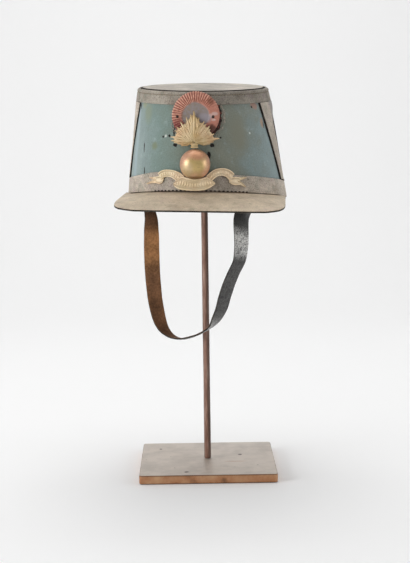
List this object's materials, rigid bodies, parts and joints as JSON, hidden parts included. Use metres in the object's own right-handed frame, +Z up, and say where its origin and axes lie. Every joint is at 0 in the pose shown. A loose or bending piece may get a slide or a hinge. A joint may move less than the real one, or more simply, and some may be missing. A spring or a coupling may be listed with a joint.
{
  "type": "shako hat on display stand",
  "caption": "Cloth-covered shako with leather bands, square visor, cockade, flaming grenade badge and chin strap, resting on a steel rod-and-plate stand.",
  "frame": {"origin": "centre of the stand plate's underside", "axes": "+Z up along the rod, -Y towards the visor and badge, which point 6.4 degrees to the left of -Y seen from the front; the plate's sides lie along X and Y"},
  "size_m": [0.1852, 0.2659, 0.4332],
  "materials": {
    "crown_body": "napped wool cloth over stiff felt, faded and stained",
    "crown_top": "lacquered leather, dusty",
    "top_band": "worn lacquered leather",
    "bottom_band": "worn lacquered leather",
    "sweatband": "smooth lining leather",
    "chevron_left": "worn lacquered leather",
    "chevron_right": "worn lacquered leather",
    "visor": "worn lacquered leather, dusty",
    "cockade": "fluted sheet painted red round a grey-violet middle, chipped",
    "grenade_flame": "stamped brass, dull gilt",
    "grenade_collar": "stamped brass, dull gilt",
    "grenade_ball": "stamped brass, coppery tarnish",
    "scroll": "stamped brass, dull gilt",
    "chin_strap": "black grain side, brown flesh side",
    "stand_plate": "mill plate with rust patina and wax",
    "stand_rod": "round bar with brown rust patina",
    "stand_pad": "plain turned disc"
  },
  "bodies": {
    "root": {"crown_body": "crown_body", "crown_top": "crown_top", "top_band": "top_band", "bottom_band": "bottom_band", "sweatband": "sweatband", "chevron_left": "chevron_left", "chevron_right": "chevron_right", "visor": "visor", "cockade": "cockade", "grenade_flame": "grenade_flame", "grenade_collar": "grenade_collar", "grenade_ball": "grenade_ball", "scroll": "scroll", "chin_strap": "chin_strap", "stand_plate": "stand_plate", "stand_rod": "stand_rod", "stand_pad": "stand_pad"}
  },
  "joints": []
}
